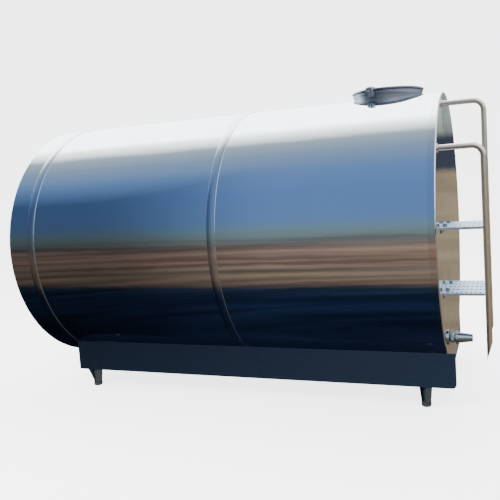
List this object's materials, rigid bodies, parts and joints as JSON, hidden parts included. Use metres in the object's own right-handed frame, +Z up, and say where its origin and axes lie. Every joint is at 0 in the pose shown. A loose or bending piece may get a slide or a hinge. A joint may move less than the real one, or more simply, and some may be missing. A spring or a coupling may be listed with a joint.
{
  "type": "horizontal bulk milk tank",
  "caption": "Horizontal insulated stainless milk tank on a skirted base with short legs, an end ladder, a hinged manway lid on top and a valved outlet.",
  "frame": {"origin": "centre of the tank's footprint at floor level, under the middle of its overall length and width", "axes": "+Z up; +X along the tank's axis towards the end with the ladder and outlet; +Y away from the side on which the ladder and outlet sit"},
  "size_m": [3.2026, 1.804, 2.0384],
  "materials": {
    "polished_steel": "bright polished stainless sheet with faint rolling waves",
    "seam_steel": "dull ground weld band",
    "brushed_steel": "brushed stainless",
    "neck_steel": "satin stainless with light weathering",
    "skirt_steel": "dark satin stainless sheet",
    "leg_steel": "satin stainless",
    "rail_steel": "polished stainless tube",
    "tread_steel": "punched stainless plate",
    "valve_steel": "satin cast and turned stainless",
    "black_rubber": "matt black rubber"
  },
  "bodies": {
    "tank": {"tank_end_left": "polished_steel", "tank_end_right": "polished_steel", "shell_course_left": "polished_steel", "shell_course_right": "polished_steel", "seam_band_left": "seam_steel", "seam_band_middle": "seam_steel", "manway_neck": "neck_steel", "manway_gasket": "black_rubber", "hinge_bracket": "brushed_steel", "hinge_pin": "brushed_steel", "skirt_front_left": "skirt_steel", "skirt_front_right": "skirt_steel", "skirt_rear_left": "skirt_steel", "skirt_rear_right": "skirt_steel", "skirt_end_left": "skirt_steel", "skirt_end_right": "skirt_steel", "cover_strip_front": "seam_steel", "cover_strip_rear": "seam_steel", "saddle_left": "skirt_steel", "saddle_right": "skirt_steel", "leg_front_left": "leg_steel", "leg_front_right": "leg_steel", "leg_rear_left": "leg_steel", "leg_rear_right": "leg_steel", "leg_gusset_front": "leg_steel", "leg_gusset_rear": "leg_steel", "foot_front_left": "black_rubber", "foot_front_right": "black_rubber", "foot_rear_left": "black_rubber", "foot_rear_right": "black_rubber", "ladder_rail_front": "rail_steel", "ladder_rail_rear": "rail_steel", "rail_foot_front": "rail_steel", "rail_foot_rear": "rail_steel", "ladder_tread_upper": "tread_steel", "ladder_tread_lower": "tread_steel", "tread_cleat_upper": "tread_steel", "tread_cleat_lower": "tread_steel", "outlet_flange": "valve_steel", "valve_body": "valve_steel", "union_ring": "valve_steel", "outlet_spout": "valve_steel"},
    "lid": {"manway_lid": "neck_steel", "lid_strap": "brushed_steel", "lid_grip": "brushed_steel"}
  },
  "joints": [
    {"name": "lid_hinge", "type": "hinge", "parent": "tank", "child": "lid", "pos_m": [0.88543, -0.2557, 2.0086], "axis": [0.9613, -0.2756, 0], "range_deg": [0, 105]}
  ]
}
